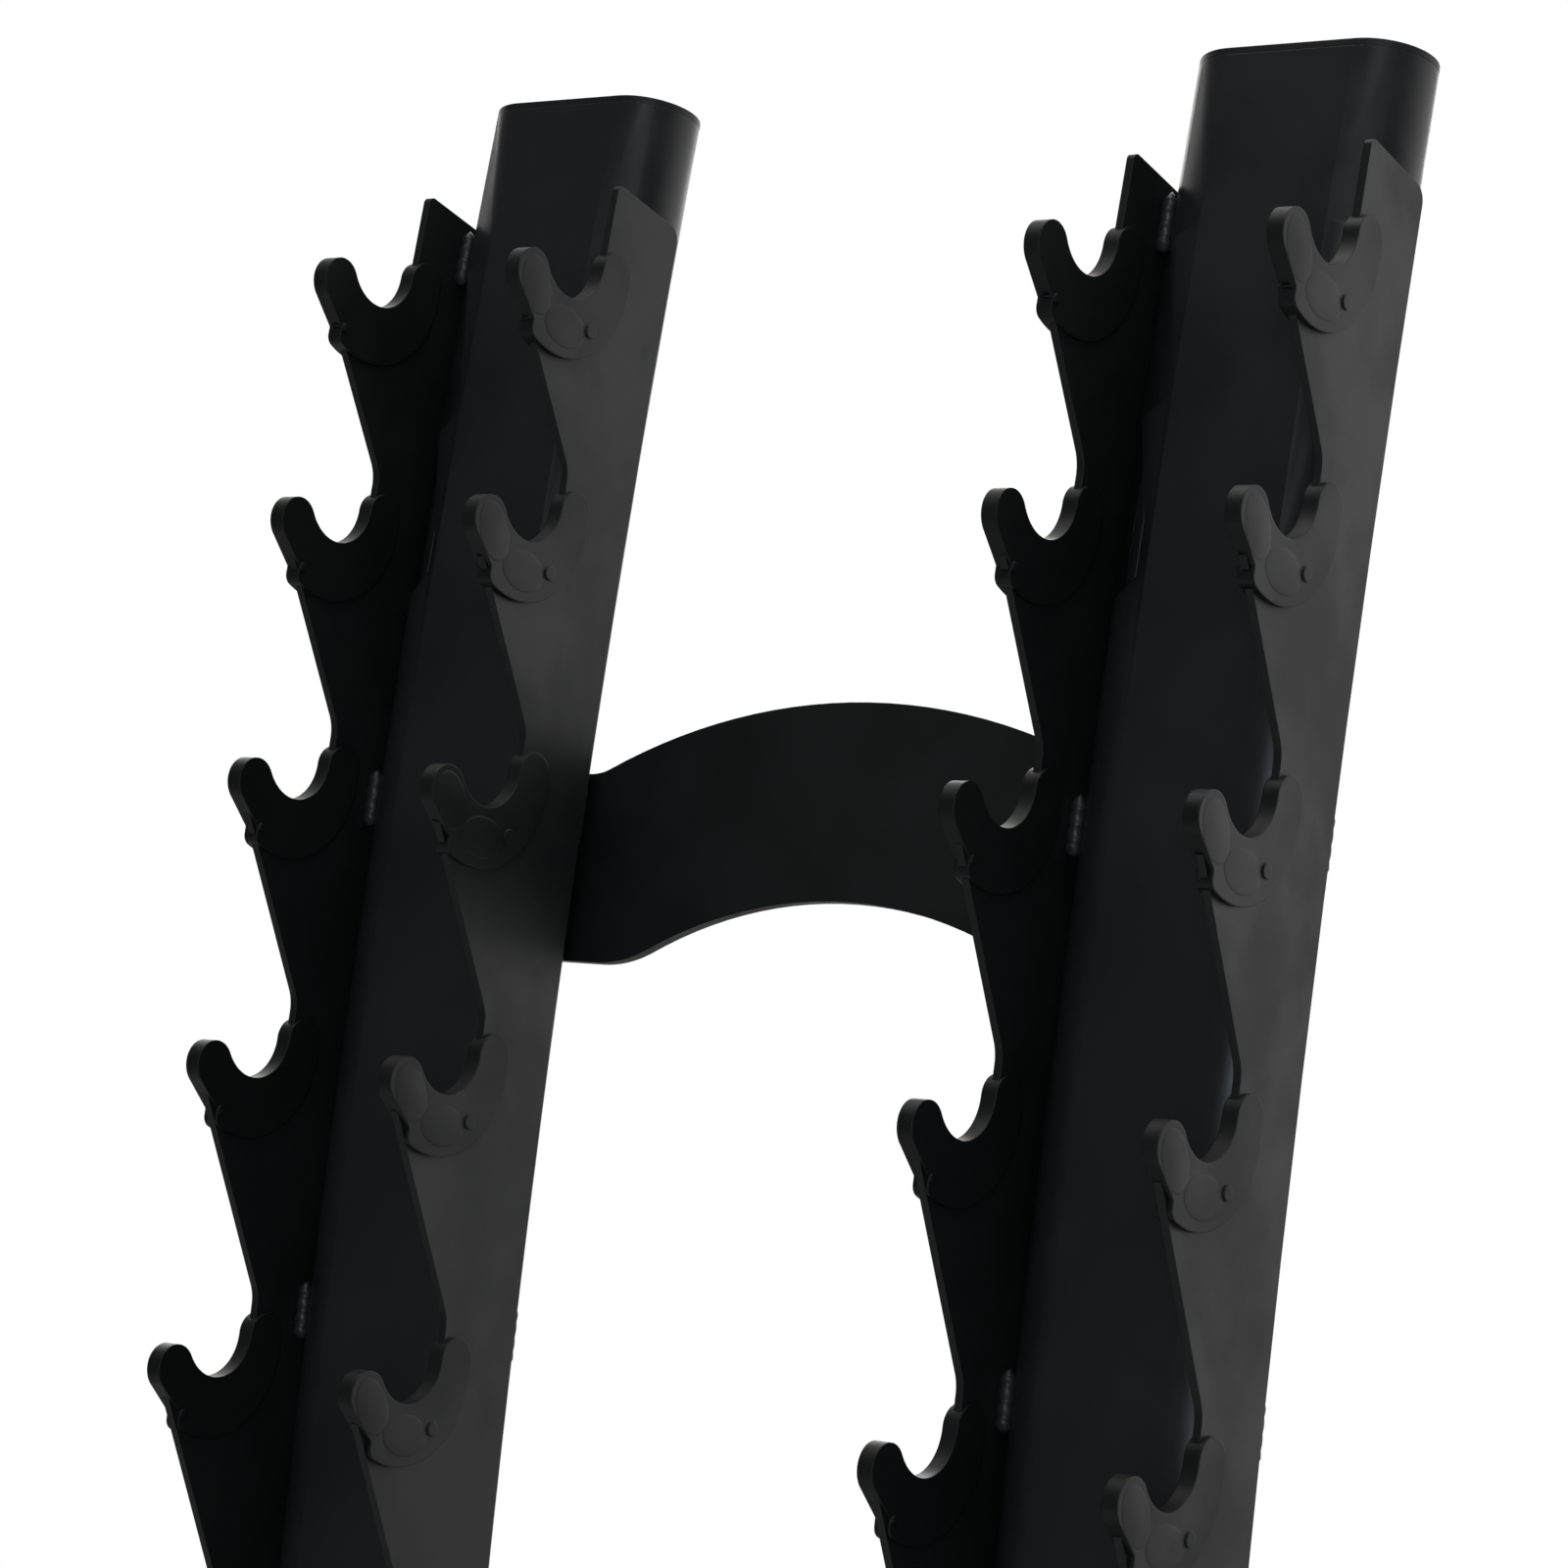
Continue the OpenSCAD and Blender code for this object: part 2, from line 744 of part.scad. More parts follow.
module saw_plate(u, p) {
    color("#26282a")
    plate_frame(u, p)
        difference() {
            union() {
                linear_extrude(plate_t, center = true)
                    plate_blank();
                for (t = [0 : last])
                    translate(finger_place(t))
                        cylinder(r = plate_finger_r, h = plate_t, center = true);
                for (t = [0 : last - 1])
                    linear_extrude(plate_t, center = true)
                        slope_blend(t);
            }
            linear_extrude(plate_t + overlap, center = true)
                plate_cuts();
        }
}

module saddle_liner(u, p, t) {
    color("#1f2020")
    plate_frame(u, p) {
        difference() {
            translate([0, 0, -slot_w / 2 - inner_flange_t])
                linear_extrude(liner_w)
                    at_saddle(t)
                        liner_outline();
            linear_extrude(slot_w, center = true)
                slot_outline(t);
        }
        at_saddle(t) {
            translate([stud_at[0], stud_at[1], -slot_w / 2 - inner_flange_t / 2])
                cylinder(r = stud_r, h = slot_w + inner_flange_t / 2 + flange_t / 2);
            translate([0, 0, slot_w / 2 + flange_t / 2]) {
                linear_extrude(flange_t / 2 + pad_h)
                    pad_outline();
                translate(stud_at)
                    cylinder(r = stud_head_r, h = flange_t / 2 + stud_head_h);
            }
            translate([nick_forward - nub_inset, -nick_down, -slot_w / 2 - inner_flange_t - nub_h])
                cylinder(r = nub_r, h = inner_flange_t / 2 + nub_h);
        }
    }
}

module arch_plate() {
    color("#141517")
    station(arch_mid)
        translate([0, arch_seat + arch_t, 0])
            rotate([90, 0, 0])
                linear_extrude(arch_t)
                    arch_outline();
}

module bracket_flange(u) {
    middle = (bracket_rear - bracket_front) / 2 - upright_forward;
    difference() {
        translate([U_SIDES[u] * upright_pitch / 2, middle, beam_top])
            linear_extrude(bracket_t)
                rounded_box(beam_w, bracket_front + bracket_rear, bracket_corner_r);
        at_bracket_screws(u, base_top + overlap)
            cylinder(r = screw_r + shank_gap, h = bracket_t + 2 * overlap);
    }
}

// Upright rib behind the tube, drawn with x to the rear and y up
module gusset(u) {
    tip = at(-tube_rear, gusset_h);
    difference() {
        translate([U_SIDES[u] * upright_pitch / 2, -upright_forward, base_top])
            rotate([90, 0, 90])
                linear_extrude(gusset_t, center = true)
                    polygon([
                        [0, -overlap],
                        [gusset_rear, -overlap],
                        [gusset_rear, gusset_nose],
                        spin([-tip[0], tip[1]], -foot_lean),
                        [0, gusset_h]
                    ]);
        bent_bar(u, -tube_d, gusset_h + tube_d)
            flat_oval(tube_w, tube_d);
    }
}

module foot_bracket(u) {
    color("#1b1c1f") {
        bracket_flange(u);
        gusset(u);
    }
}

module foot_beam(u) {
    color("#1b1c1f")
    difference() {
        translate([U_SIDES[u] * upright_pitch / 2, 0, beam_mid])
            rotate([90, 0, 0])
                linear_extrude(beam_len - 2 * end_cap_t, center = true)
                    difference() {
                        rounded_box(beam_w, beam_h, beam_corner_r);
                        rounded_box(beam_w - 2 * beam_wall, beam_h - 2 * beam_wall,
                            beam_corner_r - beam_wall);
                    }
        at_bracket_screws(u, beam_top + overlap)
            cylinder(r = nut_r + shank_gap, h = beam_wall + 2 * overlap);
        at_feet(u, foot_h - overlap)
            cylinder(r = nut_r + shank_gap, h = beam_wall + 2 * overlap);
        at_cross_bolts(u)
            translate([0, 0, -overlap])
                cylinder(r = bolt_r + shank_gap, h = beam_w + 2 * overlap);
    }
}

module beam_end_caps() {
    plug_w = beam_w - 2 * beam_wall - 2 * plug_gap;
    plug_h = beam_h - 2 * beam_wall - 2 * plug_gap;
    plug_r = beam_corner_r - beam_wall - plug_gap;
    color("#151517")
    for (x = U_SIDES, e = [0, 1])
        translate([x * upright_pitch / 2, 0, beam_mid])
            mirror([0, e, 0])
                translate([0, -beam_len / 2, 0])
                    rotate([-90, 0, 0]) {
                        linear_extrude(end_cap_t)
                            rounded_box(beam_w, beam_h, beam_corner_r);
                        linear_extrude(end_cap_t + end_plug_len)
                            difference() {
                                rounded_box(plug_w, plug_h, plug_r);
                                square([plug_w - 2 * end_plug_wall, plug_h - 2 * end_plug_wall],
                                    center = true);
                            }
                    }
}

module base_cross_tube() {
    len = upright_pitch - beam_w;
    color("#1b1c1f")
    difference() {
        translate([0, cross_rear, beam_mid])
            rotate([90, 0, 90])
                difference() {
                    linear_extrude(len, center = true)
                        rounded_box(cross_d, cross_h, cross_corner_r);
                    linear_extrude(len - 2 * cross_end_t, center = true)
                        rounded_box(cross_d - 2 * cross_wall, cross_h - 2 * cross_wall,
                            cross_corner_r - cross_wall);
                }
        for (u = [0, 1])
            at_cross_bolts(u)
                translate([0, 0, beam_w - overlap])
                    cylinder(r = bolt_r + shank_gap, h = cross_end_t + 2 * overlap);
    }
}

module rubber_feet() {
    color("#101010")
    for (u = [0, 1])
        at_feet(u, 0)
            difference() {
                cylinder(r1 = foot_r, r2 = foot_top_r, h = foot_h);
                translate([0, 0, -overlap])
                    cylinder(r = screw_head_r + foot_recess_gap, h = foot_recess + overlap);
                cylinder(r = screw_r + shank_gap, h = foot_h + overlap);
            }
}

module button_screws() {
    color("#3a3a3c")
    {
        at_arch_screws(arch_seat + arch_t)
            button_screw();
        for (u = [0, 1]) {
            at_bracket_screws(u, base_top)
                button_screw();
            at_feet(u, foot_recess)
                button_screw();
        }
    }
}

module rivet_nuts() {
    color("#8a8c90")
    {
        at_arch_screws(tube_rear)
            rivet_nut(tube_wall);
        for (u = [0, 1]) {
            at_bracket_screws(u, beam_top)
                rivet_nut(beam_wall);
            at_feet(u, foot_h)
                rivet_nut(beam_wall);
        }
    }
}

module cross_bolts() {
    color("#3a3a3c")
    for (u = [0, 1])
        at_cross_bolts(u)
            flange_bolt();
}

for (u = [0, 1]) {
    upright(u);
    top_cap(u);
    foot_bracket(u);
    foot_beam(u);
    for (p = [0, 1]) {
        saw_plate(u, p);
        for (t = [0 : last])
            saddle_liner(u, p, t);
    }
}
arch_plate();
beam_end_caps();
base_cross_tube();
rubber_feet();
button_screws();
cross_bolts();
rivet_nuts();
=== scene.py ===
"""Finishes, weld beads, crowned liners, lights and camera for the upright dumbbell rack.

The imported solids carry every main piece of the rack. This script dresses each of them in its own
finish, adds the weld beads that join the plates, posts and brackets, and gives the saddle liners
the crowned faces of moulded plastic. Lengths are metres, +Z is up, +Y is the rear and +X is the
rack's right as seen from its front.
"""
import logging
import math
from dataclasses import dataclass, field
from enum import Enum

import bmesh
import bpy
from mathutils import Matrix, Quaternion, Vector


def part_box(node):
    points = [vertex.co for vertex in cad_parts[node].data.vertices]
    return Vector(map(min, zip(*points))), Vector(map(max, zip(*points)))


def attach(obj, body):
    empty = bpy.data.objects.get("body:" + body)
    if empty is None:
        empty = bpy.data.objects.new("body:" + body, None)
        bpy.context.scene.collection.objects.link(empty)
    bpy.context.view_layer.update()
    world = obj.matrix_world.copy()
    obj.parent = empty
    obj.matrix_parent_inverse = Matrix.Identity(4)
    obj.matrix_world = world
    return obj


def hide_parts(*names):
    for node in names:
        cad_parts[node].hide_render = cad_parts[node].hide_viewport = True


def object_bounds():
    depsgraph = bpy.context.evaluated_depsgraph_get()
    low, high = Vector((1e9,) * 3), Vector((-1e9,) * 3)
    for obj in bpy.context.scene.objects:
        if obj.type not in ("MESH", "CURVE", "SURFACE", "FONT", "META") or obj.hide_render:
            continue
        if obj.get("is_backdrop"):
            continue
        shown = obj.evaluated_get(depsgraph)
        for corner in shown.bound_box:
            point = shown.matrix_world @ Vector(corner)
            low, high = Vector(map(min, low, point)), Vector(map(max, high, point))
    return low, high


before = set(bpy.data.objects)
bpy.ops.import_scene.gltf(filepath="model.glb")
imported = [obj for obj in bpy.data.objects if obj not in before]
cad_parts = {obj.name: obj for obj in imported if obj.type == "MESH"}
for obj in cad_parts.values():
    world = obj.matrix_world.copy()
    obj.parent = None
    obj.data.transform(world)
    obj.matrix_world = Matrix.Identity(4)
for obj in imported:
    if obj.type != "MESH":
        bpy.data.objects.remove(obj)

logging.basicConfig(level=logging.INFO, format="%(name)s: %(message)s")
log = logging.getLogger("dumbbell_rack")

Colour = tuple[float, float, float]
Cover = tuple[float, float, float, float]
Point = tuple[float, float, float]
Band = tuple[float, float]
WHITE: Colour = (1.0, 1.0, 1.0)
ROOT = "root"
MM = 0.001


class Side(Enum):
    """The two uprights, with the sign of their place along X."""

    LEFT = -1
    RIGHT = 1


class Place(Enum):
    """The two plates of an upright, with the sign of their place away from the rack's middle."""

    OUTER = 1
    INNER = -1


class Slot(Enum):
    """The record's material slots."""

    POWDER = "powder_coat"
    LINER = "liner_plastic"


# ---- Shader building ----


def opaque(colour: Colour, level: float = 1.0) -> Cover:
    """Give a colour full cover, and dim it where asked.

    Args:
        colour: the colour.
        level: what each of its three parts is multiplied by.

    Returns:
        The colour with its cover as a fourth part.
    """
    return tuple(part * level for part in colour) + (1.0,)


class Sheet:
    """A node tree being written, with short ways to place and join its nodes."""

    # The colour sockets of a Mix node share their names with its other kinds, so they go by index.
    MIX_FACTOR, MIX_FIRST, MIX_SECOND, MIX_RESULT = 0, 6, 7, 2

    def __init__(self, tree: bpy.types.NodeTree) -> None:
        """Start on a tree.

        Args:
            tree: the node tree to write into; it is emptied first.
        """
        self.tree = tree
        self.tree.nodes.clear()

    def node(self, kind: str, values: dict[str, object] | None = None,
             **settings: object) -> bpy.types.Node:
        """Place a node.

        Args:
            kind: Blender's name of the node type, without its leading "ShaderNode" if it has one.
            values: input socket names, or their indexes as text, and what they take: a number, a
                colour, or another node's output socket.
            **settings: attributes to set on the node before its sockets.

        Returns:
            The new node.
        """
        full = kind if kind.startswith("Node") else "ShaderNode" + kind
        made = self.tree.nodes.new(full)
        for key, value in settings.items():
            setattr(made, key, value)
        for key, value in (values or {}).items():
            socket = made.inputs[int(key)] if key.isdigit() else made.inputs[key]
            if isinstance(value, bpy.types.NodeSocket):
                self.tree.links.new(value, socket)
            else:
                socket.default_value = value
        return made

    def math(self, operation: str, first: object, second: object,
             clamp: bool = False) -> bpy.types.NodeSocket:
        """Place a Math node.

        Args:
            operation: the Math node's operation.
            first: its first value or socket.
            second: its second value or socket.
            clamp: whether the result stays within 0 and 1.

        Returns:
            The node's result socket.
        """
        made = self.node("Math", {"0": first, "1": second}, operation=operation, use_clamp=clamp)
        return made.outputs[0]

    def remap(self, value: object, band: Band, onto: Band = (0.0, 1.0)) -> bpy.types.NodeSocket:
        """Place a Map Range node with a smooth course that stays within its ends.

        Args:
            value: the socket to remap.
            band: the two values that become the ends of the result.
            onto: the ends of the result.

        Returns:
            The node's result socket.
        """
        made = self.node("MapRange", {"Value": value, "From Min": band[0], "From Max": band[1],
                                      "To Min": onto[0], "To Max": onto[1]})
        made.interpolation_type = "SMOOTHSTEP"
        return made.outputs["Result"]

    def tint(self, factor: object, first: object, second: object) -> bpy.types.NodeSocket:
        """Place a colour Mix node.

        Args:
            factor: how much of the second colour shows.
            first: the first colour or socket.
            second: the second colour or socket.

        Returns:
            The node's colour socket.
        """
        made = self.node("Mix", {str(self.MIX_FACTOR): factor, str(self.MIX_FIRST): first,
                                 str(self.MIX_SECOND): second}, data_type="RGBA")
        return made.outputs[self.MIX_RESULT]

    def where(self) -> bpy.types.NodeSocket:
        """Return the place on the object, in metres, that textures are laid out by."""
        return self.node("TexCoord").outputs["Object"]

    def noise(self, scale: object, detail: float, roughness: float = 0.5) -> bpy.types.NodeSocket:
        """Place a Noise Texture node that is laid out on the object.

        Args:
            scale: its scale, a number or a socket.
            detail: how many finer layers it has.
            roughness: how strong each finer layer is against the one before.

        Returns:
            The node's value socket.
        """
        made = self.node("TexNoise", {"Vector": self.where(), "Scale": scale, "Detail": detail,
                                      "Roughness": roughness})
        return made.outputs[0]


@dataclass(frozen=True)
class EffectGroup:
    """A shader node group that several finishes share."""

    name: str
    inputs: dict[str, float]
    outputs: dict[str, str]

    def begin(self) -> tuple[Sheet, bpy.types.Node, bpy.types.Node]:
        """Make the empty group with its sockets.

        Returns:
            The sheet to write on, the group's input node and its output node.
        """
        tree = bpy.data.node_groups.new(self.name, "ShaderNodeTree")
        for key, value in self.inputs.items():
            socket = tree.interface.new_socket(name=key, in_out="INPUT",
                                               socket_type="NodeSocketFloat")
            socket.default_value = value
        for key, kind in self.outputs.items():
            tree.interface.new_socket(name=key, in_out="OUTPUT", socket_type="NodeSocket" + kind)
        sheet = Sheet(tree)
        return sheet, sheet.node("NodeGroupInput"), sheet.node("NodeGroupOutput")


@dataclass
class Effects:
    """The shared effects: skin grain, soft edges with their mask of rubbed wear and painted
    highlight, and settled dust.

    A band holds the two values between which an effect comes in: for an edge, the cosine of the
    angle that rounding turns the normal by, for the way that dust faces, the normal's Z, and for
    the others, the value of their noise.
    """

    peel_scale: float = 420.0
    grit_scale: float = 2600.0
    grit: float = 0.4
    mottle_scale: float = 22.0
    mottle_band: Band = (0.3, 0.7)
    edge_radius: float = 0.5 * MM
    edge_samples: int = 4
    edge_band: Band = (0.995, 0.85)
    break_scale: float = 160.0
    break_band: Band = (0.45, 0.65)
    dust_amount: float = 0.2
    dust_facing: Band = (0.35, 0.95)
    speck_scale: float = 90.0
    speck_band: Band = (0.42, 0.68)
    speck_cover: Band = (0.15, 1.0)

    def __post_init__(self) -> None:
        """Build each group once."""
        self.grain_group = self.make_grain()
        self.edge_group = self.make_edges()
        self.dust_group = self.make_dust()

    def make_grain(self) -> bpy.types.NodeTree:
        """Build the grain group.

        Returns:
            A group that gives a height, made of a broad orange peel and a fine grit, and a slow
            mottle from 0 to 1.
        """
        group = EffectGroup("coat_grain", {"Peel Scale": self.peel_scale,
                                           "Grit Scale": self.grit_scale, "Grit": self.grit},
                            {"Height": "Float", "Mottle": "Float"})
        sheet, given, out = group.begin()
        peel = sheet.noise(given.outputs["Peel Scale"], detail=2.0)
        grit = sheet.noise(given.outputs["Grit Scale"], detail=3.0, roughness=0.6)
        height = sheet.math("ADD", peel, sheet.math("MULTIPLY", grit, given.outputs["Grit"]))
        broad = sheet.noise(self.mottle_scale, detail=4.0, roughness=0.55)
        sheet.tree.links.new(height, out.inputs["Height"])
        sheet.tree.links.new(sheet.remap(broad, self.mottle_band), out.inputs["Mottle"])
        return sheet.tree

    def make_edges(self) -> bpy.types.NodeTree:
        """Build the edge group.

        Returns:
            A group that gives a normal rounded over the edges, and a mask of the edges broken up by
            noise, for the places where handling has rubbed them and where the edges take a painted
            highlight.
        """
        group = EffectGroup("soft_edges", {"Radius": self.edge_radius,
                                           "Break Scale": self.break_scale},
                            {"Normal": "Vector", "Wear And Highlight": "Float"})
        sheet, given, out = group.begin()
        rounded = sheet.node("Bevel", {"Radius": given.outputs["Radius"]},
                             samples=self.edge_samples).outputs[0]
        flat = sheet.node("NewGeometry").outputs["Normal"]
        turned = sheet.node("VectorMath", {"0": rounded, "1": flat}, operation="DOT_PRODUCT")
        edge = sheet.remap(turned.outputs["Value"], self.edge_band)
        broken = sheet.remap(sheet.noise(given.outputs["Break Scale"], detail=4.0),
                             self.break_band)
        sheet.tree.links.new(rounded, out.inputs["Normal"])
        sheet.tree.links.new(sheet.math("MULTIPLY", edge, broken), out.inputs["Wear And Highlight"])
        return sheet.tree

    def make_dust(self) -> bpy.types.NodeTree:
        """Build the dust group.

        Returns:
            A group that gives a mask of faint dust on the surfaces that face up.
        """
        group = EffectGroup("settled_dust", {"Amount": self.dust_amount}, {"Mask": "Float"})
        sheet, given, out = group.begin()
        normal = sheet.node("NewGeometry").outputs["Normal"]
        up = sheet.node("SeparateXYZ", {"0": normal}).outputs["Z"]
        lies = sheet.remap(up, self.dust_facing)
        patchy = sheet.noise(self.speck_scale, detail=6.0, roughness=0.7)
        specks = sheet.remap(patchy, self.speck_band, self.speck_cover)
        mask = sheet.math("MULTIPLY", sheet.math("MULTIPLY", lies, specks), given.outputs["Amount"])
        sheet.tree.links.new(mask, out.inputs["Mask"])
        return sheet.tree


@dataclass(frozen=True)
class Finish:
    """A surface finish: its colours, gloss and relief, and what it turns into as a material."""

    name: str
    colour: Colour
    shade: Colour
    roughness: float
    roughness_spread: float = 0.06
    metallic: float = 0.0
    ior: float = 1.5
    relief: float = 0.03 * MM
    peel_scale: float = Effects.peel_scale
    grit_scale: float = Effects.grit_scale
    grit: float = Effects.grit
    edge_radius: float = Effects.edge_radius
    # Edges are mixed towards this colour: a painted highlight on the powder coats, plastics and
    # rubber, and rubbed wear on the black steel and zinc.
    edge_colour: Colour = (0.05, 0.05, 0.05)
    edge_amount: float = 0.15
    dust: float = 0.12
    dust_colour: Colour = (0.16, 0.155, 0.145)
    dust_roughens: float = 0.4

    def material(self, effects: Effects) -> bpy.types.Material:
        """Write the finish as a material.

        Args:
            effects: the shared effect groups.

        Returns:
            The material.
        """
        made = bpy.data.materials.new(self.name)
        made.use_nodes = True
        sheet = Sheet(made.node_tree)
        grain = sheet.node("Group", {"Peel Scale": self.peel_scale, "Grit Scale": self.grit_scale,
                                     "Grit": self.grit}, node_tree=effects.grain_group)
        edges = sheet.node("Group", {"Radius": self.edge_radius}, node_tree=effects.edge_group)
        dust = sheet.node("Group", {"Amount": self.dust}, node_tree=effects.dust_group)
        mottle, dusty = grain.outputs["Mottle"], dust.outputs["Mask"]
        # Along the edges the colour turns lighter: a painted highlight on the coats and plastics,
        # rubbed wear on the metals.
        worn_and_highlit = sheet.math("MULTIPLY", edges.outputs["Wear And Highlight"], self.edge_amount)
        base = sheet.tint(mottle, opaque(self.colour), opaque(self.shade))
        base = sheet.tint(worn_and_highlit, base, opaque(self.edge_colour))
        base = sheet.tint(dusty, base, opaque(self.dust_colour))
        spread = (self.roughness - self.roughness_spread, self.roughness + self.roughness_spread)
        gloss = sheet.remap(mottle, (0.0, 1.0), spread)
        gloss = sheet.math("ADD", gloss, sheet.math("MULTIPLY", dusty, self.dust_roughens),
                           clamp=True)
        bump = sheet.node("Bump", {"Height": grain.outputs["Height"], "Distance": self.relief,
                                   "Strength": 1.0, "Normal": edges.outputs["Normal"]})
        surface = sheet.node("BsdfPrincipled", {"Base Color": base, "Roughness": gloss,
                                                "Metallic": self.metallic, "IOR": self.ior,
                                                "Normal": bump.outputs[0]})
        sheet.node("OutputMaterial", {"Surface": surface.outputs[0]})
        return made


TUBE_COAT = Finish(
    "smooth_powder_coat", (0.0165, 0.0170, 0.0185), (0.0185, 0.0190, 0.0204), 0.38,
    relief=0.02 * MM)
PLATE_COAT = Finish(
    "textured_powder_coat", (0.0066, 0.0073, 0.0069), (0.0082, 0.0089, 0.0085), 0.50)
WELD_COAT = Finish(
    "coated_weld_bead", (0.018, 0.0185, 0.020), (0.022, 0.0225, 0.024), 0.36, relief=0.02 * MM,
    edge_amount=0.0, dust=0.05)
CAP_PLASTIC = Finish(
    "moulded_cap", (0.010, 0.010, 0.011), (0.012, 0.012, 0.0125), 0.46, relief=0.02 * MM,
    peel_scale=900.0, edge_radius=0.6 * MM)
LINER_PLASTIC = Finish(
    "moulded_liner", (0.0048, 0.0053, 0.0050), (0.0062, 0.0068, 0.0064), 0.50, ior=1.45,
    relief=0.02 * MM, peel_scale=1100.0, grit_scale=3800.0, grit=0.8, edge_radius=0.9 * MM,
    edge_colour=(0.06, 0.06, 0.06), edge_amount=0.1)
FOOT_RUBBER = Finish(
    "foot_rubber", (0.014, 0.014, 0.014), (0.02, 0.02, 0.02), 0.72, relief=0.05 * MM,
    peel_scale=700.0, edge_radius=0.8 * MM, dust=0.25)
BLACK_STEEL = Finish(
    "black_oxide_steel", (0.035, 0.034, 0.036), (0.055, 0.053, 0.052), 0.38, metallic=0.9,
    relief=0.01 * MM, edge_radius=0.25 * MM, edge_colour=(0.3, 0.29, 0.28), edge_amount=0.5)
ZINC = Finish(
    "zinc_plate", (0.56, 0.57, 0.6), (0.66, 0.66, 0.64), 0.3, metallic=1.0, relief=0.01 * MM,
    edge_radius=0.2 * MM, edge_colour=(0.8, 0.8, 0.8), edge_amount=0.3)


class Stores:
    """The finished materials, made once and handed out by finish."""

    def __init__(self) -> None:
        """Build the shared effects; materials are made as they are asked for."""
        self.effects = Effects()
        self.made: dict[str, bpy.types.Material] = {}

    def of(self, finish: Finish) -> bpy.types.Material:
        """Return the material of a finish.

        Args:
            finish: the finish asked for.

        Returns:
            Its material.
        """
        if finish.name not in self.made:
            self.made[finish.name] = finish.material(self.effects)
        return self.made[finish.name]

    def dress(self, piece: bpy.types.Object, finish: Finish) -> None:
        """Give a piece one finish all over.

        Args:
            piece: the mesh object to dress.
            finish: what it is finished in.
        """
        piece.data.materials.clear()
        piece.data.materials.append(self.of(finish))

    def dress_added(self, piece: bpy.types.Object, finish: Finish) -> None:
        """Give an added piece one finish all over.

        Args:
            piece: the mesh object to dress.
            finish: what it is finished in.
        """
        self.dress(piece, finish)


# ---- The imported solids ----


@dataclass
class PackedPieces:
    """The rack's own solids, each dressed in the finish that it has."""

    finishes: dict[str, Finish] = field(default_factory=lambda: {
        "upright": TUBE_COAT,
        "top_cap": CAP_PLASTIC,
        "saw_plate": PLATE_COAT,
        "liner": LINER_PLASTIC,
        "arch_plate": PLATE_COAT,
        "foot_bracket": PLATE_COAT,
        "foot_beam": TUBE_COAT,
        "beam_end_caps": CAP_PLASTIC,
        "base_cross_tube": TUBE_COAT,
        "rubber_feet": FOOT_RUBBER,
        "button_screws": BLACK_STEEL,
        "cross_bolts": BLACK_STEEL,
        "rivet_nuts": ZINC,
    })

    def build(self, stores: Stores) -> list[bpy.types.Object]:
        """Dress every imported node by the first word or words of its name.

        Args:
            stores: where the materials come from.

        Returns:
            The dressed nodes.
        """
        for name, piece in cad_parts.items():
            start = max((key for key in self.finishes if name.startswith(key)), key=len)
            stores.dress(piece, self.finishes[start])
        return list(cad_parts.values())


# ---- Weld beads ----


